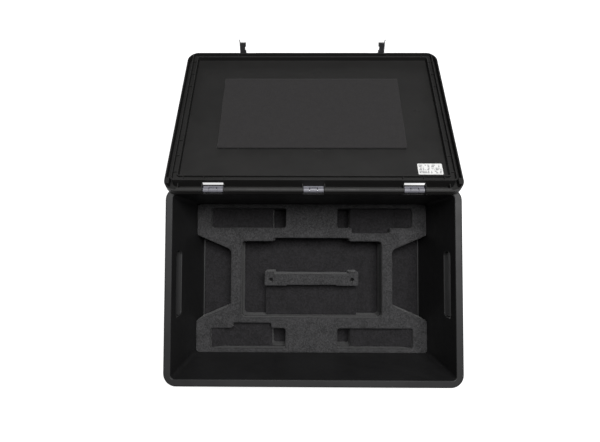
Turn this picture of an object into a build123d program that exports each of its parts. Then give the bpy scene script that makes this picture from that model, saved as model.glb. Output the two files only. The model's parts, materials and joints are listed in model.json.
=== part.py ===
from build123d import *
from math import radians, tan
import os

# A stackable transport case with a hinged lid, two front latches and a cut foam
# inlay.  Millimetres.  X runs along the case, Y towards the hinges, Z up, and the
# origin is the middle of the base.  The lid is drawn shut and then swung open.

# ---- outer size and walls ----
case_length = 600.0
case_width = 400.0
case_height = 270.0
wall = 3.0
draft = 1.4                    # slope of the walls, degrees

# ---- rim ----
rim_land = 15.0                # width of the flat rim
rim_radius = 26.0              # outer corner of the rim, seen from above
rim_rounding = 3.0             # outer top edge of the rim
mouth_radius = 8.0             # inner corner of the mouth
mouth_chamfer = 1.0
skirt_drop = 24.0              # height of the skirt that hangs from the rim
skirt_wall = 3.0

# ---- ring rib and gussets under the rim ----
ring_drop = 70.0               # top of the ring rib, below the rim
ring_wall = 3.0
gusset_wall = 2.5
gusset_first_x = 24.0          # from the middle, on the long walls
gusset_pitch_x = 48.0
gusset_first_y = 71.0          # from the middle, on the end walls
gusset_pitch_y = 44.5

# ---- hand holes in the end walls ----
hand_hole_length = 139.0
hand_hole_height = 39.0
hand_hole_drop = 28.0          # top of the hole, below the rim
hand_hole_radius = 9.0
grip_web = 3.0                 # closes the skirt above the hole

# ---- base ----
foot_height = 5.0              # ribs under the floor
floor_wall = 3.0
base_step_height = 13.0        # the lower part that nests in the lid below
base_step_inset = 3.0
base_radius = 9.0
foot_rib = 2.0
foot_pitch = 70.0

# ---- foam inlay ----
foam_gap = 0.3                 # foam to plastic
base_sheet_thickness = 8.0
foam_depth = 182.0             # top of the foam, below the rim
upper_layer_thickness = 25.0
step_drop = 37.0               # top of the middle step, below the foam's top
pocket_radius = 8.0
small_radius = 3.0

well_half_length = 171.0       # the large middle well
well_front = 96.0
well_back = 89.0
well_bay_half_length = 92.0    # shallow bay in its back edge
well_bay_depth = 8.0

bridge_half_length = 114.0
bridge_front = 19.0
bridge_back = 9.0
bridge_ear_back = 15.0
bridge_ear_inner = 92.0
bridge_waist_half_length = 61.0
bridge_waist_front = 17.0
bridge_hole_x = 99.0
bridge_hole_y = -5.0
bridge_hole_radius = 5.0
bridge_hole_depth = 25.0
bridge_radius = 1.0

bay_inner_x = 196.5            # trapezoid bays at the two ends
bay_inner_half_width = 68.0
bay_outer_half_width = 106.0
bay_radius = 14.0

cell_inner_x = 63.0            # four long pockets near the corners
cell_deep_x = 96.0
cell_ramp_x = 205.0
cell_outer_x = 245.0
cell_inner_y = 122.0
cell_outer_y = 170.0
cell_notch_x1 = 98.0           # extra notch in two of them
cell_notch_x2 = 192.0
cell_notch_y = 109.0
ramp_rise = 17.0

# ---- lid ----
lid_height = 15.0              # shut, above the rim
lid_wall = 3.0
lid_top_rounding = 2.0
lid_border = 18.5              # raised border round the nesting recess
lid_border_wall = 2.2
locating_ring_drop = 12.5      # outer ring, below the rim
inner_ring_inset = 27.3
inner_ring_drop = 11.5
ladder_skin = 2.5
ladder_floor_drop = 5.5        # underside between the rings, below the rim
ladder_rib = 2.0
ladder_rib_drop = 8.5
panel_top = 2.0                # above the rim
ladder_ribs_from_end = (40.0, 81.3, 122.5)
ladder_ribs_from_side = (40.0, 81.0, 121.0)
ring_radius = 8.0
inner_ring_radius = 3.0
brace_rib_from_end = 29.0      # ribs in the channel beside the hinges
corner_lug_start = 17.0
corner_lug_length = 14.0
corner_lug_width = 10.0
gate_marks = ((12.0, 112.0, 11.0), (12.0, -123.0, 11.0), (228.0, -4.0, 8.0))
gate_mark_depth = 0.4

# ---- lid pad and label ----
pad_length = 396.0
pad_width = 202.0
pad_thickness = 6.0
pad_radius = 1.0
pad_x = -2.8
pad_y = -3.0
label_length = 50.0
label_width = 27.0
label_thickness = 0.3
label_radius = 1.5
label_from_end = 38.5          # label's edges, in from the lid's outline
label_from_side = 38.3

# ---- hinges ----
hinge_from_end = 99.0          # middle of the outer hinges, in from the rim's outline
hinge_inset = 7.0              # axis, in from the rim's outline
hinge_rise = 9.4               # axis, above the rim
open_angle = 207.0
hinge_width = 42.0             # recess in the lid
hinge_side_gap = 1.0
knuckle_radius = 5.0
knuckle_inner_x = 8.5          # lid knuckles start here, from the hinge's middle
leaf_thickness = 4.5
leaf_overlap = 1.0             # webs run this far into the leaf's bar
leaf_rounding = 1.5
bar_gap = 0.5                  # bar of the leaf to the bracket's knuckle
hinge_pin_radius = 2.0
running_gap = 0.08
lip_swing_gap = 0.3            # rolled lip of the lid to the rim
lip_wall = 3.0
bracket_top_width = 12.4
bracket_foot_width = 19.2
bracket_foot_reach = 6.0       # foot, in front of the axis
bracket_plate = 2.0
bracket_plate_front = 2.5      # plate, in front of the axis and behind it
bracket_plate_back = 1.5
knuckle_gap = 0.3              # bracket to the lid's turning knuckles
frame_rib = 2.0
window_low = 7.5               # slot in the outer recesses, above the rim

# ---- latches ----
latch_from_end = 142.0         # middle of the latch recess, in from the rim's outline
latch_width = 42.0
latch_seat_gap = 0.3
latch_pivot_out = 4.0          # pivot, outside the rim's outline
latch_pivot_rise = 8.0
latch_ajar = 30.0              # swing from the shut position, as drawn
latch_seat_depth = 5.0
arm_offset = 3.0               # arm's inner flank, outside the middle of the recess
arm_width = 13.0
arm_length = 27.0
arm_half_thickness = 3.6
arm_lip = 3.5
arm_notch = 2.2
arm_notch_start = 10.0
arm_notch_length = 8.0
arm_rounding = 1.0
hook_plate = 2.0
hook_band = 4.0
hook_nose = 6.0
hook_tip = 2.6
hook_gap = 0.3                 # nose to the skirt's lower edge
ear_wall = 2.4
ear_gap = 0.3
latch_pin_radius = 1.5

overrun = 1.0                  # cuts run this far past a face

# ---- worked out from the sizes above ----
half_length = case_length / 2
half_width = case_width / 2
rim = case_height
skirt_bottom = rim - skirt_drop
ring_top = rim - ring_drop
floor_top = foot_height + floor_wall
ledge = floor_top + base_sheet_thickness
foam_top = rim - foam_depth
layer_joint = foam_top - upper_layer_thickness
hinge_x = half_length - hinge_from_end
hinge_y = half_width - hinge_inset
hinge_z = rim + hinge_rise
latch_x = half_length - latch_from_end
latch_pivot_y = -half_width - latch_pivot_out
latch_pivot_z = rim + latch_pivot_rise
locating_ring_inset = lid_border - lid_border_wall
panel_bottom = panel_top - lid_wall
arm_inner_x = latch_x + arm_offset
arm_outer_x = arm_inner_x + arm_width
lid_skin = rim + lid_height - lid_wall
leaf_bottom = lid_skin - leaf_thickness
hinge_axis = Axis((0, hinge_y, hinge_z), (1, 0, 0))
latch_axis = Axis((0, latch_pivot_y, latch_pivot_z), (1, 0, 0))
hinge_names = {"left": -hinge_x, "center": 0.0, "right": hinge_x}
side_names = {"left": -1, "right": 1}


# ---- helpers ----
def plate(inset, radius, z_low, z_high):
    """A slab with rounded corners, this far inside the rim's outline."""
    outline = RectangleRounded(case_length - 2 * inset, case_width - 2 * inset, radius)
    return Pos(0, 0, z_low) * extrude(outline, z_high - z_low)


def mouth_inset(z):
    """How far the sloping inner wall stands inside the rim's outline at height z."""
    return rim_land + (rim - z) * tan(radians(draft))


def tapered(inset_low, inset_high, radius, z_low, z_high):
    """A solid between two rounded outlines, each this far inside the rim's outline."""
    sections = []
    for inset, z in ((inset_low, z_low), (inset_high, z_high)):
        outline = RectangleRounded(case_length - 2 * inset, case_width - 2 * inset, radius)
        sections.append(Pos(0, 0, z) * outline)
    return loft(sections, ruled=True)


def tub(offset, radius, z_low, z_high):
    """A solid that follows the sloping wall, this far outside (+) or inside (-) it."""
    return tapered(mouth_inset(z_low) - offset, mouth_inset(z_high) - offset, radius, z_low, z_high)


def block(x1, x2, y1, y2, z1, z2):
    """A box between two corners."""
    return Pos((x1 + x2) / 2, (y1 + y2) / 2, (z1 + z2) / 2) * Box(x2 - x1, y2 - y1, z2 - z1)


def rod(radius, x1, x2, y, z):
    """A round bar along X."""
    return Pos((x1 + x2) / 2, y, z) * Rot(0, 90, 0) * Cylinder(radius, abs(x2 - x1))


def side_profile(points, x1, x2):
    """A prism along X whose outline is given as (y, z) points."""
    outline = make_face(Polyline([(0, y, z) for y, z in points], close=True))
    return Pos(x1, 0, 0) * extrude(outline, x2 - x1, dir=(1, 0, 0))


def rounded_prism(points, radius, z_low, z_high):
    """An upright prism on (x, y) points with rounded corners."""
    outline = make_face(Polyline([(x, y) for x, y in points], close=True))
    outline = fillet(outline.vertices(), radius)
    return Pos(0, 0, z_low) * extrude(outline, z_high - z_low)


def opened(part):
    """Swings a lid part from shut to its open stop."""
    return part.rotate(hinge_axis, -open_angle)


# ---- case ----
def rim_and_skirt():
    top = plate(0, rim_radius, skirt_bottom, rim)
    top = fillet(top.edges().group_by(Axis.Z)[-1], rim_rounding)
    return top - plate(skirt_wall, rim_radius - skirt_wall, skirt_bottom, rim - wall)


def spaced(first, pitch, end):
    """Places at a pitch, from the first one to the last that is short of the end."""
    return [first + i * pitch for i in range(int((end - first) / pitch) + 1)]


def gussets():
    inner_y = half_width - rim_land
    inner_x = half_length - rim_land
    z1, z2 = ring_top - ring_wall / 2, rim - wall / 2
    ribs = []
    for x in spaced(gusset_first_x, gusset_pitch_x, half_length - rim_radius):
        behind_latch = abs(x - latch_x) < latch_width / 2
        for sign in (-1, 1):
            for side in ((1,) if behind_latch else (-1, 1)):
                y1, y2 = sorted((side * inner_y, side * (half_width - skirt_wall)))
                ribs.append(block(sign * x - gusset_wall / 2, sign * x + gusset_wall / 2, y1, y2, z1, z2))
    for y in spaced(gusset_first_y, gusset_pitch_y, half_width - rim_radius):
        for sign in (-1, 1):
            for side in (-1, 1):
                x1, x2 = sorted((side * inner_x, side * (half_length - skirt_wall)))
                ribs.append(block(x1, x2, sign * y - gusset_wall / 2, sign * y + gusset_wall / 2, z1, z2))
    return ribs


def grip_webs():
    reach = gusset_first_y
    webs = []
    for side in (-1, 1):
        x1, x2 = sorted((side * (half_length - rim_land), side * (half_length - skirt_wall / 2)))
        webs.append(block(x1, x2, -reach, reach, skirt_bottom, skirt_bottom + grip_web))
    return webs


def foot_grid(outer):
    """Crossed ribs under the floor, kept inside the foot's outline."""
    ribs = []
    half_x, half_y = half_length - rim_land, half_width - rim_land
    count_x = int(half_x / foot_pitch)
    count_y = int(half_y / foot_pitch)
    for i in range(-count_x, count_x + 1):
        x = i * foot_pitch
        ribs.append(block(x - foot_rib / 2, x + foot_rib / 2, -half_y, half_y, 0, foot_height))
    for i in range(-count_y, count_y + 1):
        y = i * foot_pitch
        ribs.append(block(-half_x, half_x, y - foot_rib / 2, y + foot_rib / 2, 0, foot_height))
    return outer & (ribs[0] + ribs[1:])


def hand_holes():
    outline = RectangleRounded(hand_hole_length, hand_hole_height, hand_hole_radius)
    z = rim - hand_hole_drop - hand_hole_height / 2
    along_x = Plane(origin=(-case_length, 0, z), x_dir=(0, 1, 0), z_dir=(1, 0, 0))
    return extrude(along_x * outline, 2 * case_length)


def case_shell():
    step_inset = mouth_inset(ledge) - wall + base_step_inset
    foot = plate(step_inset, base_radius, 0, ledge)
    shell = rim_and_skirt() + tub(wall, mouth_radius + wall, base_step_height, rim - wall / 2)
    shell += plate(0, rim_radius, ring_top - ring_wall, ring_top)
    shell += gussets() + grip_webs()
    shell += foot
    shell -= plate(step_inset + wall, base_radius - wall, 0, foot_height)
    shell += foot_grid(foot)
    shell -= tub(0, mouth_radius, ledge, rim)
    shell -= plate(step_inset + wall, base_radius - wall, floor_top, ledge)
    shell -= tapered(mouth_inset(rim), mouth_inset(rim) - mouth_chamfer, mouth_radius,
                     rim - mouth_chamfer, rim)
    return shell - hand_holes()


# ---- foam inlay ----
def mirrored(points, sx, sy):
    return [(sx * x, sy * y) for x, y in points]


def end_bays(z_low, z_high):
    """The trapezoid bays, run past the foam's outer edge."""
    slope = (bay_outer_half_width - bay_inner_half_width) / (half_length - rim_land - bay_inner_x)
    past = half_length + rim_land
    past_half_width = bay_inner_half_width + slope * (past - bay_inner_x)
    points = [(past, past_half_width), (bay_inner_x, bay_inner_half_width),
              (bay_inner_x, -bay_inner_half_width), (past, -past_half_width)]
    return [rounded_prism(mirrored(points, s, 1), bay_radius, z_low, z_high) for s in (-1, 1)]


def middle_well(z_low, z_high):
    x, bay_x = well_half_length, well_bay_half_length
    back = well_back + well_bay_depth
    main = rounded_prism([(-x, -well_front), (x, -well_front), (x, well_back), (-x, well_back)],
                         pocket_radius, z_low, z_high)
    bay = rounded_prism([(-bay_x, 0), (bay_x, 0), (bay_x, back), (-bay_x, back)],
                        small_radius, z_low, z_high)
    return main + bay


def cell_pocket(sx, sy, x1, x2, y1, z_low, z_high):
    points = [(x1, y1), (x2, y1), (x2, cell_outer_y), (x1, cell_outer_y)]
    return rounded_prism(mirrored(points, sx, sy), small_radius, z_low, z_high)


def foam_layer(z_low, z_high):
    return tub(-foam_gap, mouth_radius - foam_gap, z_low, z_high)


def foam_base_sheet():
    inset = mouth_inset(ledge) + base_step_inset + foam_gap
    return plate(inset, base_radius - wall - foam_gap, floor_top, ledge)


def foam_lower_layer():
    layer = foam_layer(ledge, layer_joint) - middle_well(ledge, layer_joint)
    for bay in end_bays(ledge, layer_joint):
        layer -= bay
    for sx in (-1, 1):
        for sy in (-1, 1):
            layer -= cell_pocket(sx, sy, cell_inner_x, cell_deep_x, cell_inner_y, ledge, layer_joint)
    return layer


def foam_upper_layer():
    layer = foam_layer(layer_joint, foam_top) - middle_well(layer_joint, foam_top)
    for bay in end_bays(layer_joint, foam_top):
        layer -= bay
    for sx in (-1, 1):
        for sy in (-1, 1):
            layer -= cell_pocket(sx, sy, cell_inner_x, cell_outer_x, cell_inner_y, layer_joint, foam_top)
            if sx * sy > 0:
                layer -= cell_pocket(sx, sy, cell_notch_x1, cell_notch_x2, cell_notch_y,
                                     layer_joint, foam_top)
    return layer


def foam_ramp(sx, sy):
    """A wedge at the outer end of a long pocket."""
    y1, y2 = sorted((sy * (cell_inner_y + foam_gap), sy * (cell_outer_y - foam_gap)))
    tip = cell_outer_x - foam_gap
    points = [(sx * cell_ramp_x, layer_joint), (sx * tip, layer_joint), (sx * tip, layer_joint + ramp_rise)]
    outline = make_face(Polyline([(x, y1, z) for x, z in points], close=True))
    ramp = extrude(outline, y2 - y1, dir=(0, 1, 0))
    return fillet(ramp.edges().filter_by(Axis.Z), small_radius)


def foam_center_step():
    x = bridge_half_length
    front = well_front - foam_gap
    return block(-x, x, -front, -bridge_front - foam_gap, ledge, foam_top - step_drop)


def foam_center_bridge():
    x, waist, ear = bridge_half_length, bridge_waist_half_length, bridge_ear_inner
    points = [(-x, -bridge_front), (-waist, -bridge_front), (-waist, -bridge_waist_front),
              (waist, -bridge_waist_front), (waist, -bridge_front), (x, -bridge_front),
              (x, bridge_ear_back), (ear, bridge_ear_back), (ear, bridge_back),
              (-ear, bridge_back), (-ear, bridge_ear_back), (-x, bridge_ear_back)]
    bridge = rounded_prism(points, bridge_radius, ledge, foam_top)
    for sign in (-1, 1):
        bridge -= Pos(sign * bridge_hole_x, bridge_hole_y, foam_top - bridge_hole_depth / 2) * Cylinder(
            bridge_hole_radius, bridge_hole_depth)
    return bridge


# ---- lid, drawn shut ----
def lid_body():
    """Outer wall, raised border, two rings with the ladder skin between them, panel."""
    body = plate(0, rim_radius, rim, rim + lid_height)
    body = fillet(body.edges().group_by(Axis.Z)[-1], lid_top_rounding)
    body -= plate(lid_wall, rim_radius - lid_wall, rim, lid_skin)
    ring = plate(locating_ring_inset, ring_radius, rim - locating_ring_drop, lid_skin)
    body += ring
    body -= plate(lid_border, ring_radius - lid_border_wall, rim - locating_ring_drop, rim + lid_height)
    body += plate(locating_ring_inset, ring_radius,
                  rim - ladder_floor_drop, rim - ladder_floor_drop + ladder_skin)
    body += plate(inner_ring_inset, inner_ring_radius + lid_border_wall, rim - inner_ring_drop, rim + panel_top)
    body -= plate(inner_ring_inset + lid_border_wall, inner_ring_radius,
                  rim - inner_ring_drop, rim + panel_bottom)
    return body


def ladder_ribs():
    """Short ribs across the channel between the two rings, near the corners."""
    outer, inner = locating_ring_inset + lid_border_wall / 2, inner_ring_inset + lid_border_wall / 2
    z1, z2 = rim - ladder_rib_drop, rim - ladder_floor_drop + ladder_skin / 2
    ribs = []
    for x in [half_length - gap for gap in ladder_ribs_from_end]:
        for sx in (-1, 1):
            for sy in (-1, 1):
                y1, y2 = sorted((sy * (half_width - outer), sy * (half_width - inner)))
                ribs.append(block(sx * x - ladder_rib / 2, sx * x + ladder_rib / 2, y1, y2, z1, z2))
    for y in [half_width - gap for gap in ladder_ribs_from_side]:
        for sx in (-1, 1):
            for sy in (-1, 1):
                x1, x2 = sorted((sx * (half_length - outer), sx * (half_length - inner)))
                ribs.append(block(x1, x2, sy * y - ladder_rib / 2, sy * y + ladder_rib / 2, z1, z2))
    return ribs


def channel_ribs():
    """Ribs across the outer channel: beside each hinge recess, and at the corners."""
    y1, y2 = half_width - locating_ring_inset - lid_border_wall / 2, half_width - lid_wall / 2
    z1, z2 = rim, lid_skin + lid_wall / 2
    beside = hinge_width / 2 + frame_rib / 2
    centers = [x + side * beside for x in hinge_names.values() for side in (-1, 1)]
    brace_x = half_length - brace_rib_from_end
    centers += [-brace_x, brace_x]
    ribs = [block(x - frame_rib / 2, x + frame_rib / 2, y1, y2, z1, z2) for x in centers]
    front = latch_width / 2 + frame_rib / 2
    for sign in (-1, 1):
        for side in (-1, 1):
            x = sign * latch_x + side * front
            ribs.append(block(x - frame_rib / 2, x + frame_rib / 2, -y2, -y1, z1, z2))
    return ribs


def corner_lugs():
    lugs = []
    y2 = half_width - corner_lug_start
    for sign in (-1, 1):
        x1, x2 = sorted((sign * (half_length - lid_wall / 2), sign * (half_length - corner_lug_width)))
        lugs.append(block(x1, x2, y2 - corner_lug_length, y2, rim, lid_skin + lid_wall / 2))
    return lugs


def rolled_lip():
    """The hinge-side edge, rolled round the hinge axis so that it clears the rim."""
    reach = half_length - rim_radius
    swing = hinge_rise - lip_swing_gap
    bar = block(-reach, reach, hinge_y, half_width, rim, hinge_z)
    lip = bar & rod(swing, -reach, reach, hinge_y, hinge_z)
    inside = rod(swing - lip_wall, -reach, reach, hinge_y, hinge_z)
    return lip - (inside & block(-reach, reach, hinge_y - swing, half_width - lid_wall, rim, hinge_z))


def lip_swing_cut():
    """Takes the hinge-side wall back to the circle that clears the rim."""
    swing = hinge_rise - lip_swing_gap
    corner = block(-half_length, half_length, hinge_y, half_width + lip_wall, rim - lip_swing_gap, hinge_z)
    return corner - rod(swing, -half_length - overrun, half_length + overrun, hinge_y, hinge_z)


def hinge_recess(x, windowed):
    """What the lid leaves free for a hinge, with a slot through the ring's wall behind it."""
    x1, x2 = x - hinge_width / 2, x + hinge_width / 2
    past, low = half_width + overrun, rim - overrun
    cut = block(x1, x2, hinge_y - knuckle_radius - bar_gap, past, low, rim + lid_height + overrun)
    cut += block(x1, x2, half_width - locating_ring_inset, past, low, lid_skin)
    if windowed:
        cut += block(x1, x2, half_width - lid_border - overrun, half_width - locating_ring_inset + overrun,
                     rim - ladder_floor_drop + ladder_skin, rim + window_low)
    return cut


def latch_recess(x):
    half = latch_width / 2
    return block(x - half, x + half, -half_width - overrun, -half_width + lid_wall + overrun,
                 rim - overrun, lid_skin)


def lid_panel():
    body = lid_body() - lip_swing_cut() + rolled_lip()
    body += ladder_ribs() + channel_ribs() + corner_lugs()
    body -= lip_swing_cut()
    for name, x in hinge_names.items():
        body -= hinge_recess(x, name != "center")
    for sign in (-1, 1):
        body -= latch_recess(sign * latch_x)
    for x, y, radius in gate_marks:
        body -= Pos(x, y, rim + panel_bottom + gate_mark_depth / 2) * Cylinder(radius, gate_mark_depth)
    return body


def lid_foam_pad():
    outline = RectangleRounded(pad_length, pad_width, pad_radius)
    return Pos(pad_x, pad_y, rim + panel_bottom - pad_thickness) * extrude(outline, pad_thickness)


def lid_label():
    outline = RectangleRounded(label_length, label_width, label_radius)
    x = half_length - label_from_end - label_length / 2
    y = half_width - label_from_side - label_width / 2
    return Pos(x, y, rim + panel_bottom - label_thickness) * extrude(outline, label_thickness)


# ---- hinges, drawn shut ----
def hinge_leaf(x):
    """Two knuckles on a bar that sits in the lid's recess, against its skin."""
    half = hinge_width / 2 - hinge_side_gap
    bar_back = hinge_y - knuckle_radius - bar_gap
    bar_front = half_width - locating_ring_inset
    bar = block(x - half, x + half, bar_front, bar_back, leaf_bottom, lid_skin)
    bar = fillet(bar.edges().filter_by(Axis.X).sort_by(Axis.Z)[:1], leaf_rounding)
    for sign in (-1, 1):
        x1, x2 = sorted((x + sign * knuckle_inner_x, x + sign * half))
        web = block(x1, x2, bar_back - leaf_overlap, hinge_y, leaf_bottom, lid_skin)
        bar += rod(knuckle_radius, x1, x2, hinge_y, hinge_z) + web
    return bar - rod(hinge_pin_radius + running_gap, x - half, x + half, hinge_y, hinge_z)


def hinge_bracket(x):
    """A knuckle on a wedge-shaped foot that stands on the rim, with its plate."""
    top, foot = bracket_top_width / 2, bracket_foot_width / 2
    front = hinge_y - bracket_foot_reach
    back = hinge_y + bracket_plate_back
    wedge_plan = make_face(Polyline([(x - foot, front), (x + foot, front), (x + top, hinge_y + knuckle_radius),
                                     (x - top, hinge_y + knuckle_radius)], close=True))
    wedge = Pos(0, 0, rim) * extrude(wedge_plan, hinge_rise + knuckle_radius)
    profile = side_profile([(front, rim), (back, rim), (back, hinge_z), (hinge_y - knuckle_radius, hinge_z)],
                           x - foot, x + foot)
    body = wedge & (profile + rod(knuckle_radius, x - foot, x + foot, hinge_y, hinge_z))
    plate_half = hinge_width / 2 - hinge_side_gap
    for sign in (-1, 1):
        x1, x2 = sorted((x + sign * (knuckle_inner_x - knuckle_gap), x + sign * plate_half))
        body -= rod(knuckle_radius + knuckle_gap, x1, x2, hinge_y, hinge_z)
        body -= block(x1, x2, front - overrun, hinge_y, leaf_bottom - knuckle_gap, hinge_z + knuckle_radius)
    body += block(x - plate_half, x + plate_half, hinge_y - bracket_plate_front,
                  hinge_y + bracket_plate_back, rim, rim + bracket_plate)
    return body - rod(hinge_pin_radius, x - foot, x + foot, hinge_y, hinge_z)


def hinge_pin(x):
    half = hinge_width / 2 - hinge_side_gap
    return rod(hinge_pin_radius, x - half, x + half, hinge_y, hinge_z)


# ---- latches, drawn shut ----
def latch_span(sign, near, far):
    """X limits of a latch piece given its distances from the middle of the case."""
    return sorted((sign * near, sign * far))


def latch_bracket(sign):
    """A seat in the lid's edge with two ears for the pin."""
    half = latch_width / 2 - latch_seat_gap
    x1, x2 = latch_span(sign, latch_x - half, latch_x + half)
    z1, z2 = rim + latch_seat_gap, lid_skin
    seat = block(x1, x2, -half_width, -half_width + latch_seat_depth, z1, z2)
    seat -= block(x1 + lid_wall, x2 - lid_wall, -half_width + lid_wall,
                  -half_width + latch_seat_depth, z1, z2 - lid_wall / 2)
    ear_outer = latch_span(sign, arm_outer_x + hook_plate + ear_gap, latch_x + half)
    ear_inner = latch_span(sign, arm_inner_x - ear_gap - ear_wall, arm_inner_x - ear_gap)
    for e1, e2 in (ear_outer, ear_inner):
        seat += rod(arm_half_thickness, e1, e2, latch_pivot_y, latch_pivot_z)
        seat += block(e1, e2, latch_pivot_y, -half_width + latch_seat_depth / 2,
                      latch_pivot_z - arm_half_thickness, latch_pivot_z + arm_half_thickness)
    e1, e2 = latch_span(sign, arm_inner_x - ear_gap - ear_wall, latch_x + half)
    return seat - rod(latch_pin_radius, e1 - overrun, e2 + overrun, latch_pivot_y, latch_pivot_z)


def latch_pin(sign):
    half = latch_width / 2 - latch_seat_gap
    x1, x2 = latch_span(sign, arm_inner_x - ear_gap - ear_wall, latch_x + half)
    return rod(latch_pin_radius, x1, x2, latch_pivot_y, latch_pivot_z)


def latch_arm(sign):
    """The lever: a knuckle, a flat arm and a finger lip at its end."""
    x1, x2 = latch_span(sign, arm_inner_x, arm_outer_x)
    inner, outer = latch_pivot_y + arm_half_thickness, latch_pivot_y - arm_half_thickness
    end = latch_pivot_z - arm_length
    points = [(inner, latch_pivot_z), (inner, end), (outer - arm_lip, end),
              (outer - arm_lip, end + arm_half_thickness), (outer, end + 2 * arm_half_thickness),
              (outer, latch_pivot_z)]
    arm = side_profile(points, x1, x2)
    arm = fillet(arm.edges().filter_by(Axis.X).sort_by(Axis.Z)[:2], arm_rounding)
    arm += rod(arm_half_thickness, x1, x2, latch_pivot_y, latch_pivot_z)
    n1, n2 = latch_span(sign, arm_inner_x - overrun, arm_inner_x + arm_notch)
    notch_top = latch_pivot_z - arm_notch_start
    arm -= block(n1, n2, outer - overrun, inner + overrun, notch_top - arm_notch_length, notch_top)
    return arm - rod(latch_pin_radius + running_gap, x1 - overrun, x2 + overrun,
                     latch_pivot_y, latch_pivot_z)


def latch_hook(sign):
    """A steel plate on the lever's outer flank, with a nose that grips the skirt."""
    x1, x2 = latch_span(sign, arm_outer_x, arm_outer_x + hook_plate)
    nose_top = skirt_bottom - hook_gap
    nose_end = -half_width + hook_nose
    band_in, band_out = -half_width - hook_band / 2, -half_width - hook_band * 3 / 2
    points = [(band_out, latch_pivot_z), (band_in, latch_pivot_z), (band_in, nose_top),
              (nose_end, nose_top), (nose_end, nose_top - hook_tip / 2),
              (band_in, nose_top - hook_tip), (band_out, nose_top - hook_tip)]
    hook = side_profile(points, x1, x2)
    hook += rod(arm_half_thickness, x1, x2, latch_pivot_y, latch_pivot_z)
    return hook - rod(latch_pin_radius + running_gap, x1 - overrun, x2 + overrun,
                     latch_pivot_y, latch_pivot_z)


# ---- write every piece ----
def pieces():
    yield "case_shell", case_shell()
    yield "foam_base_sheet", foam_base_sheet()
    yield "foam_lower_layer", foam_lower_layer()
    yield "foam_upper_layer", foam_upper_layer()
    yield "foam_center_step", foam_center_step()
    yield "foam_center_bridge", foam_center_bridge()
    for row, sy in {"front": -1, "back": 1}.items():
        for side, sx in side_names.items():
            yield f"foam_ramp_{row}_{side}", foam_ramp(sx, sy)
    for name, x in hinge_names.items():
        yield f"hinge_bracket_{name}", hinge_bracket(x)
        yield f"hinge_pin_{name}", hinge_pin(x)
        yield f"hinge_leaf_{name}", opened(hinge_leaf(x))
    yield "lid_panel", opened(lid_panel())
    yield "lid_foam_pad", opened(lid_foam_pad())
    yield "lid_label", opened(lid_label())
    for name, sign in side_names.items():
        yield f"latch_bracket_{name}", opened(latch_bracket(sign))
        yield f"latch_pin_{name}", opened(latch_pin(sign))
        yield f"latch_arm_{name}", opened(latch_arm(sign).rotate(latch_axis, -latch_ajar))
        yield f"latch_hook_{name}", opened(latch_hook(sign).rotate(latch_axis, -latch_ajar))


os.makedirs("parts", exist_ok=True)
for name, part in pieces():
    export_step(part, f"parts/{name}.step")
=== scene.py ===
import json
from math import radians

import bpy
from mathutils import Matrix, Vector


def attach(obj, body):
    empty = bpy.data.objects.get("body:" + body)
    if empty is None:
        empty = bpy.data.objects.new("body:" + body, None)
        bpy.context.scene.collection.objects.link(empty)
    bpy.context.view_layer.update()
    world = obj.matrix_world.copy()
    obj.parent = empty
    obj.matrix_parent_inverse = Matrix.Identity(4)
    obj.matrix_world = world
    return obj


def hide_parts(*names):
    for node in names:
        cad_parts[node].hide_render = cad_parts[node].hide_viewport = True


# A transport case that lies open: black moulded case and lid, cut foam inlay, foam
# pad and label in the lid, three hinge clips and two latches.  Metres, in the
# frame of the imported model.

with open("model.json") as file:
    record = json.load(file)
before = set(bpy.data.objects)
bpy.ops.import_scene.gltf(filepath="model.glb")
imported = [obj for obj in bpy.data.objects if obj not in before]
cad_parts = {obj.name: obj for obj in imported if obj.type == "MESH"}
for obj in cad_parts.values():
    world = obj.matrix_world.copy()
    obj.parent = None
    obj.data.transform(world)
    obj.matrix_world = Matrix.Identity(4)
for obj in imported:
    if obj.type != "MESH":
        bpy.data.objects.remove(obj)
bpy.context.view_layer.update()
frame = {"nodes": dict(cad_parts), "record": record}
nodes = frame["nodes"]
MM = 0.001

# ---- camera ----
CAMERA_PLACE = (-0.0205, 0.0990, 1.1243)
CAMERA_TURN = (2.19, 0.43, 0.18)        # degrees about X, Y and Z, from straight down
SENSOR_WIDTH = 36.0
CAMERA_LENS = 25.43

# ---- foam ----
LAYER_VOXEL = 2.4 * MM                  # size of the facets that the cut foam is made of
SHEET_VOXEL = 3.2 * MM
SMALL_VOXEL = 1.4 * MM
PAD_VOXEL = 1.8 * MM
CUT_WAVER = 0.7 * MM                    # how far a sawn foam face wanders
CUT_WAVER_SIZE = 18 * MM

FOAM_SIDE_PAINTED_SHADE = 0.5                   # painted shade: upright cut faces are darkened to this share of the colour of level ones

# ---- studio ----
FLOOR_SIZE = 12
FLOOR_PAINT = (0.42, 0.42, 0.42, 1)
FLOOR_ROUGH = 0.9
FLOOR_GLOW = 0.80                       # added where the camera or a reflection sees the floor
ROOM_LIGHT = 0.09                       # world light that falls on the part
BACKDROP = 1.0                          # world as the camera sees it
LAMP_PLACE = (0.22, 0.62, 2.3)
LAMP_AIM = (0, 0.0, 0.1)
LAMP_WIDTH = 1.1
LAMP_DEPTH = 0.9
LAMP_WATTS = 64

# ---- label ----
LABEL_MARGIN = 2.5 * MM
LABEL_ROW = 3.4 * MM                    # pitch of the printed rows
LABEL_WORD = 3.0 * MM                   # size of the printed marks


# ---------------------------------------------------------------- materials

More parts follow.
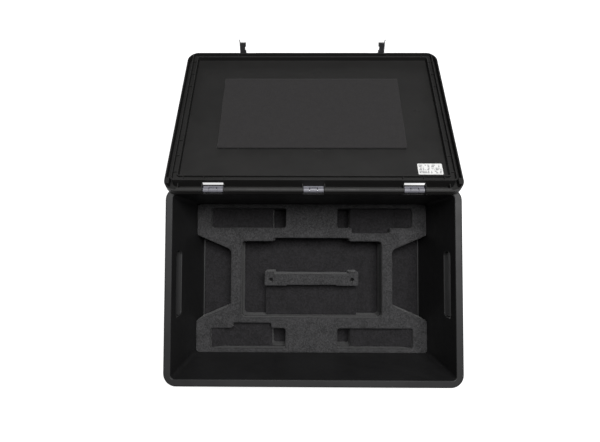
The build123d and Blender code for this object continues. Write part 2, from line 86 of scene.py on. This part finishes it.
class Shader:
    """A material's node graph, with short calls for the nodes it is made of."""

    def __init__(self, name):
        self.material = bpy.data.materials.new(name)
        self.material.use_nodes = True
        self.tree = self.material.node_tree
        self.bsdf = self.tree.nodes["Principled BSDF"]
        self.coords = self.add("ShaderNodeTexCoord").outputs["Object"]

    def add(self, kind, **settings):
        node = self.tree.nodes.new(kind)
        for key, value in settings.items():
            setattr(node, key, value)
        return node

    def wire(self, source, target):
        self.tree.links.new(source, target)

    def stretched(self, scale):
        mapping = self.add("ShaderNodeMapping")
        mapping.inputs["Scale"].default_value = scale
        self.wire(self.coords, mapping.inputs["Vector"])
        return mapping.outputs["Vector"]

    def noise(self, size, detail=2.0, roughness=0.5, vector=None):
        node = self.add("ShaderNodeTexNoise")
        node.inputs["Scale"].default_value = 1 / size
        node.inputs["Detail"].default_value = detail
        node.inputs["Roughness"].default_value = roughness
        self.wire(vector or self.coords, node.inputs["Vector"])
        return node.outputs["Fac"]

    def cells(self, size, feature="F1", output="Distance"):
        node = self.add("ShaderNodeTexVoronoi", feature=feature)
        node.inputs["Scale"].default_value = 1 / size
        self.wire(self.coords, node.inputs["Vector"])
        return node.outputs[output]

    def ramp(self, value, low, high, start=0.0, end=1.0):
        """value from start to end, turned into low to high."""
        node = self.add("ShaderNodeMapRange")
        node.inputs["From Min"].default_value = start
        node.inputs["From Max"].default_value = end
        node.inputs["To Min"].default_value = low
        node.inputs["To Max"].default_value = high
        self.wire(value, node.inputs["Value"])
        return node.outputs["Result"]

    def sum(self, first, second, operation="ADD"):
        node = self.add("ShaderNodeMath", operation=operation)
        self.wire(first, node.inputs[0])
        self.wire(second, node.inputs[1])
        return node.outputs["Value"]

    def blend(self, factor, dark, light):
        node = self.add("ShaderNodeMix", data_type="RGBA")
        node.inputs["A"].default_value = (*dark, 1)
        node.inputs["B"].default_value = (*light, 1)
        self.wire(factor, node.inputs["Factor"])
        return node.outputs["Result"]

    def shaded(self, colour, level):
        """The colour, darkened to that level."""
        node = self.add("ShaderNodeVectorMath", operation="SCALE")
        self.wire(colour, node.inputs["Vector"])
        self.wire(level, node.inputs["Scale"])
        return node.outputs["Vector"]

    def bump(self, height, depth, edge=0.0):
        """Small relief of that depth, over edges rounded by that radius."""
        node = self.add("ShaderNodeBump")
        node.inputs["Strength"].default_value = 1.0
        node.inputs["Distance"].default_value = depth
        self.wire(height, node.inputs["Height"])
        if edge:
            bevel = self.add("ShaderNodeBevel", samples=4)
            bevel.inputs["Radius"].default_value = edge
            self.wire(bevel.outputs["Normal"], node.inputs["Normal"])
        self.wire(node.outputs["Normal"], self.bsdf.inputs["Normal"])

    def colour(self, socket):
        self.wire(socket, self.bsdf.inputs["Base Color"])

    def rough(self, socket):
        self.wire(socket, self.bsdf.inputs["Roughness"])


def moulded_plastic(name, dark, light, rough, grain, grain_depth, edge, gloss=0.5):
    """Injection-moulded plastic: fine spark-eroded grain, faint flow marks, soft edges."""
    shader = Shader(name)
    flow = shader.noise(0.11, detail=4.0, roughness=0.6)
    fine = shader.noise(grain, detail=3.0, roughness=0.7)
    shader.colour(shader.blend(shader.ramp(flow, 0, 1, 0.3, 0.7), dark, light))
    shader.rough(shader.ramp(shader.noise(0.03, detail=5.0), rough - 0.05, rough + 0.07, 0.3, 0.7))
    shader.bump(fine, grain_depth, edge)
    shader.bsdf.inputs["Specular IOR Level"].default_value = gloss
    return shader.material


def cell_foam(name, dark, light, cell, depth, sheen):
    """Cut closed-cell foam: open cut cells of that size, some of which catch the light, and
    painted shade that darkens the upright faces.
    """
    shader = Shader(name)
    walls = shader.cells(cell)
    tone = shader.cells(cell, output="Color")
    grey = shader.add("ShaderNodeRGBToBW")
    shader.wire(tone, grey.inputs["Color"])
    drift = shader.noise(cell * 9, detail=3.0)
    speckle = shader.sum(shader.ramp(grey.outputs["Val"], 0, 0.75, 0.15, 0.85),
                         shader.ramp(drift, -0.1, 0.25, 0.3, 0.7))
    # Painted shade: faces that stand upright get a darker colour than faces that lie level, as if
    # less light fell on them.
    facing = shader.add("ShaderNodeSeparateXYZ")
    shader.wire(shader.add("ShaderNodeNewGeometry").outputs["Normal"], facing.inputs["Vector"])
    level = shader.ramp(facing.outputs["Z"], FOAM_SIDE_PAINTED_SHADE, 1, 0.2, 0.8)
    shader.colour(shader.shaded(shader.blend(speckle, dark, light), level))
    relief = shader.sum(walls, shader.noise(cell * 2.4, detail=3.0))
    shader.bump(relief, depth)
    shader.bsdf.inputs["Roughness"].default_value = 0.88
    shader.bsdf.inputs["Sheen Weight"].default_value = sheen
    shader.bsdf.inputs["Sheen Roughness"].default_value = 0.5
    shader.bsdf.inputs["Specular IOR Level"].default_value = 0.3
    return shader.material


def brushed_metal(name, dark, light, rough, along):
    """Pressed sheet steel with fine drawn lines along one direction."""
    shader = Shader(name)
    lines = shader.noise(0.004, detail=4.0, vector=shader.stretched(along))
    shader.colour(shader.blend(shader.ramp(lines, 0, 1, 0.3, 0.7), dark, light))
    shader.rough(shader.ramp(lines, rough - 0.06, rough + 0.08, 0.3, 0.7))
    shader.bump(lines, 0.02 * MM, 0.3 * MM)
    shader.bsdf.inputs["Metallic"].default_value = 1.0
    return shader.material


def printed_label(name, paper, ink, rough):
    """Smooth coated paper with rows of irregular grey marks that stand for print."""
    shader = Shader(name)
    corners = [vertex.co for vertex in nodes["lid_label"].data.vertices]
    low, high = (Vector([pick(corner[axis] for corner in corners) for axis in (0, 1)])
                 for pick in (min, max))
    place = shader.add("ShaderNodeSeparateXYZ")
    shader.wire(shader.coords, place.inputs["Vector"])
    rows = shader.add("ShaderNodeMath", operation="PINGPONG")
    rows.inputs[1].default_value = LABEL_ROW / 2
    shader.wire(place.outputs["Y"], rows.inputs[0])
    printed = shader.ramp(rows.outputs["Value"], 0, 1, LABEL_ROW * 0.22, LABEL_ROW * 0.28)
    words = shader.noise(LABEL_WORD, detail=0.0, vector=shader.stretched((1, 0.3, 0.3)))
    printed = shader.sum(printed, shader.ramp(words, 0, 1, 0.46, 0.5), "MULTIPLY")
    for axis, start, end in (("X", low[0], high[0]), ("Y", low[1], high[1])):
        for edge, sign in ((start + LABEL_MARGIN, 1), (end - LABEL_MARGIN, -1)):
            inside = shader.ramp(place.outputs[axis], 0, 1, edge, edge + sign * 0.1 * MM)
            printed = shader.sum(printed, inside, "MULTIPLY")
    tooth = shader.noise(0.0012, detail=3.0)
    shader.colour(shader.blend(printed, paper, ink))
    shader.bump(tooth, 0.03 * MM)
    shader.bsdf.inputs["Roughness"].default_value = rough
    return shader.material


case_plastic = moulded_plastic("case_plastic", (0.0105, 0.0105, 0.011), (0.014, 0.014, 0.0145),
                               0.54, 0.8 * MM, 0.05 * MM, 0.9 * MM, 0.42)
lid_plastic = moulded_plastic("lid_plastic", (0.011, 0.0107, 0.0105), (0.014, 0.0136, 0.0132),
                              0.54, 0.9 * MM, 0.06 * MM, 0.6 * MM, 0.26)
latch_plastic = moulded_plastic("latch_plastic", (0.009, 0.009, 0.010), (0.013, 0.013, 0.0145),
                                0.38, 0.6 * MM, 0.04 * MM, 0.5 * MM)
clip_plastic = moulded_plastic("clip_plastic", (0.125, 0.125, 0.143), (0.165, 0.165, 0.188),
                               0.44, 0.7 * MM, 0.03 * MM, 0.5 * MM)
top_foam = cell_foam("top_foam", (0.017, 0.017, 0.0175), (0.052, 0.051, 0.053),
                     2.6 * MM, 0.7 * MM, 0.1)
lower_foam = cell_foam("lower_foam", (0.0062, 0.0058, 0.0064), (0.0188, 0.0175, 0.0196),
                       3.2 * MM, 0.7 * MM, 0.1)
pad_foam = cell_foam("pad_foam", (0.0148, 0.0138, 0.0142), (0.021, 0.0197, 0.0202),
                     1.3 * MM, 0.12 * MM, 0.1)
pin_steel = brushed_metal("pin_steel", (0.42, 0.42, 0.43), (0.62, 0.62, 0.63), 0.3, (0.05, 1, 1))
hook_steel = brushed_metal("hook_steel", (0.45, 0.45, 0.46), (0.66, 0.66, 0.68), 0.3, (1, 1, 0.1))
label_paper = printed_label("label_paper", (0.67, 0.67, 0.66), (0.10, 0.10, 0.11), 0.55)


# ---------------------------------------------------------------- modelling calls

def only(piece):
    """Leaves only this piece selected and active."""
    bpy.ops.object.select_all(action="DESELECT")
    piece.select_set(True)
    bpy.context.view_layer.objects.active = piece


def finish_with(piece, kind, **settings):
    """Adds a modifier to the piece and applies it."""
    only(piece)
    modifier = piece.modifiers.new(kind.lower(), kind)
    for key, value in settings.items():
        setattr(modifier, key, value)
    bpy.ops.object.modifier_apply(modifier=modifier.name)


def paint(piece, *materials):
    piece.data.materials.clear()
    for material in materials:
        piece.data.materials.append(material)


def copied(node, name):
    """A piece with the closed mesh of a CAD node, its corners merged."""
    piece = bpy.data.objects.new(name, nodes[node].data.copy())
    bpy.context.scene.collection.objects.link(piece)
    only(piece)
    bpy.ops.object.mode_set(mode="EDIT")
    bpy.ops.mesh.select_all(action="SELECT")
    bpy.ops.mesh.remove_doubles(threshold=0.01 * MM)
    bpy.ops.object.mode_set(mode="OBJECT")
    return piece


# ---------------------------------------------------------------- foam

def cut_foam(node, name, body, material, voxel, waver=CUT_WAVER):
    """A foam piece in the space of its CAD solid: sawn faces that wander a little and
    edges that the cutter has rounded."""
    piece = copied(node, name)
    finish_with(piece, "REMESH", mode="VOXEL", voxel_size=voxel, use_smooth_shade=True)
    finish_with(piece, "SMOOTH", factor=0.5, iterations=2)
    clouds = bpy.data.textures.new(name + "_clouds", "CLOUDS")
    clouds.noise_scale = CUT_WAVER_SIZE
    finish_with(piece, "DISPLACE", texture=clouds, texture_coords="LOCAL",
                mid_level=0.5, strength=waver)
    paint(piece, material)
    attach(piece, body)
    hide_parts(node)
    return piece


def inlay():
    for part, voxel, foam in (("base_sheet", SHEET_VOXEL, lower_foam),
                              ("lower_layer", LAYER_VOXEL, lower_foam),
                              ("upper_layer", LAYER_VOXEL, top_foam),
                              ("center_step", LAYER_VOXEL, lower_foam),
                              ("center_bridge", SMALL_VOXEL, top_foam)):
        cut_foam(f"foam_{part}", f"inlay_{part}", "case", foam, voxel)
    for row in ("front", "back"):
        for side in ("left", "right"):
            cut_foam(f"foam_ramp_{row}_{side}", f"inlay_ramp_{row}_{side}", "case",
                     lower_foam, SMALL_VOXEL, 0.4 * MM)


def lid_pad():
    cut_foam("lid_foam_pad", "lid_pad", "lid", pad_foam, PAD_VOXEL, 0.3 * MM)


# ---------------------------------------------------------------- CAD nodes

def dress_nodes():
    """Gives every CAD node that stays in view its finish."""
    by_slot = {"black_plastic": case_plastic, "steel_pin": pin_steel, "grey_clip": clip_plastic,
               "latch_plastic": latch_plastic, "latch_steel": hook_steel,
               "label_paper": label_paper, "inlay_foam": lower_foam, "pad_foam": pad_foam}
    for part in frame["record"]["subparts"]:
        paint(nodes[part["node"]], by_slot[part["material_slot"]])
    paint(nodes["lid_panel"], lid_plastic)


# ---------------------------------------------------------------- stage, lights, camera

def floor():
    bpy.ops.object.select_all(action="DESELECT")
    bpy.ops.mesh.primitive_plane_add(size=FLOOR_SIZE, location=(0, 0, 0))
    piece = bpy.context.object
    piece.name = "floor"
    shader = Shader("floor_paint")
    shader.bsdf.inputs["Base Color"].default_value = FLOOR_PAINT
    shader.bsdf.inputs["Roughness"].default_value = FLOOR_ROUGH
    seen = shader.add("ShaderNodeLightPath")
    direct = shader.sum(seen.outputs["Is Camera Ray"], seen.outputs["Is Glossy Ray"], "MAXIMUM")
    glow = shader.add("ShaderNodeEmission")
    glow.inputs["Strength"].default_value = FLOOR_GLOW
    both = shader.add("ShaderNodeAddShader")
    shader.wire(shader.bsdf.outputs["BSDF"], both.inputs[0])
    shader.wire(glow.outputs["Emission"], both.inputs[1])
    choice = shader.add("ShaderNodeMixShader")
    shader.wire(direct, choice.inputs["Fac"])
    shader.wire(shader.bsdf.outputs["BSDF"], choice.inputs[1])
    shader.wire(both.outputs["Shader"], choice.inputs[2])
    shader.wire(choice.outputs["Shader"], shader.tree.nodes["Material Output"].inputs["Surface"])
    paint(piece, shader.material)


def soft_box(name, place, aim, width, depth, watts):
    lamp = bpy.data.lights.new(name, "AREA")
    lamp.shape = "RECTANGLE"
    lamp.size = width
    lamp.size_y = depth
    lamp.energy = watts
    holder = bpy.data.objects.new(name, lamp)
    holder.location = place
    holder.rotation_euler = (Vector(aim) - Vector(place)).to_track_quat("-Z", "Y").to_euler()
    bpy.context.scene.collection.objects.link(holder)


def lights():
    world = bpy.data.worlds.new("studio")
    world.use_nodes = True
    shade = world.node_tree.nodes["Background"]
    shade.inputs["Color"].default_value = (1, 1, 1, 1)
    tree = world.node_tree
    seen = tree.nodes.new("ShaderNodeLightPath")
    level = tree.nodes.new("ShaderNodeMapRange")
    level.inputs["To Min"].default_value = ROOM_LIGHT
    level.inputs["To Max"].default_value = BACKDROP
    tree.links.new(seen.outputs["Is Camera Ray"], level.inputs["Value"])
    tree.links.new(level.outputs["Result"], shade.inputs["Strength"])
    bpy.context.scene.world = world
    soft_box("overhead", LAMP_PLACE, LAMP_AIM, LAMP_WIDTH, LAMP_DEPTH, LAMP_WATTS)


def camera():
    data = bpy.data.cameras.new("camera")
    data.sensor_width = SENSOR_WIDTH
    data.lens = CAMERA_LENS
    holder = bpy.data.objects.new("camera", data)
    holder.location = CAMERA_PLACE
    holder.rotation_euler = [radians(angle) for angle in CAMERA_TURN]
    bpy.context.scene.collection.objects.link(holder)
    bpy.context.scene.camera = holder


camera()
lights()
floor()
dress_nodes()
inlay()
lid_pad()

bpy.context.scene.view_settings.view_transform = "Standard"
